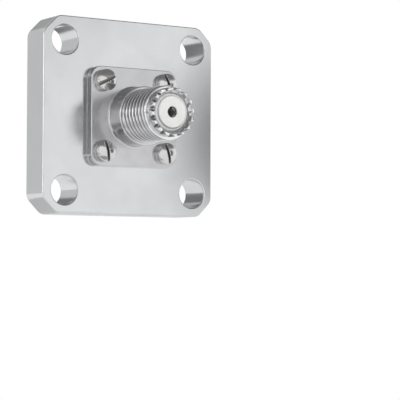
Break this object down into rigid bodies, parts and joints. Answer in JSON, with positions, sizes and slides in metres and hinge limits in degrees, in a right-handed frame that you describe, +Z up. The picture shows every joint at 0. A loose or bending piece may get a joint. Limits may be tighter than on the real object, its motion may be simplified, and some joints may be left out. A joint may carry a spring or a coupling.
{
  "type": "coaxial panel connector",
  "caption": "Thick square mounting plate that carries a small threaded coaxial jack with a toothed nose, its flange held by slotted screws, and a slotted pin behind the plate.",
  "frame": {"origin": "centre of the mounting plate's rear face", "axes": "+Z up, +Y out of the plate's rear face, the jack looks along -Y, +X to the right seen from the front"},
  "size_m": [0.0346, 0.03, 0.0346],
  "materials": {
    "plate_metal": "satin silver-coloured plating on brass",
    "jack_metal": "bright nickel plating on brass",
    "bead_polymer": "white fluoropolymer",
    "contact_metal": "silver plating on spring brass",
    "screw_steel": "polished stainless steel"
  },
  "bodies": {
    "root": {"flange_plate": "plate_metal", "jack_body": "jack_metal", "jack_insulator": "bead_polymer", "contact_socket": "contact_metal", "rear_insulator": "bead_polymer", "rear_contact": "contact_metal", "jack_screws": "screw_steel"}
  },
  "joints": []
}
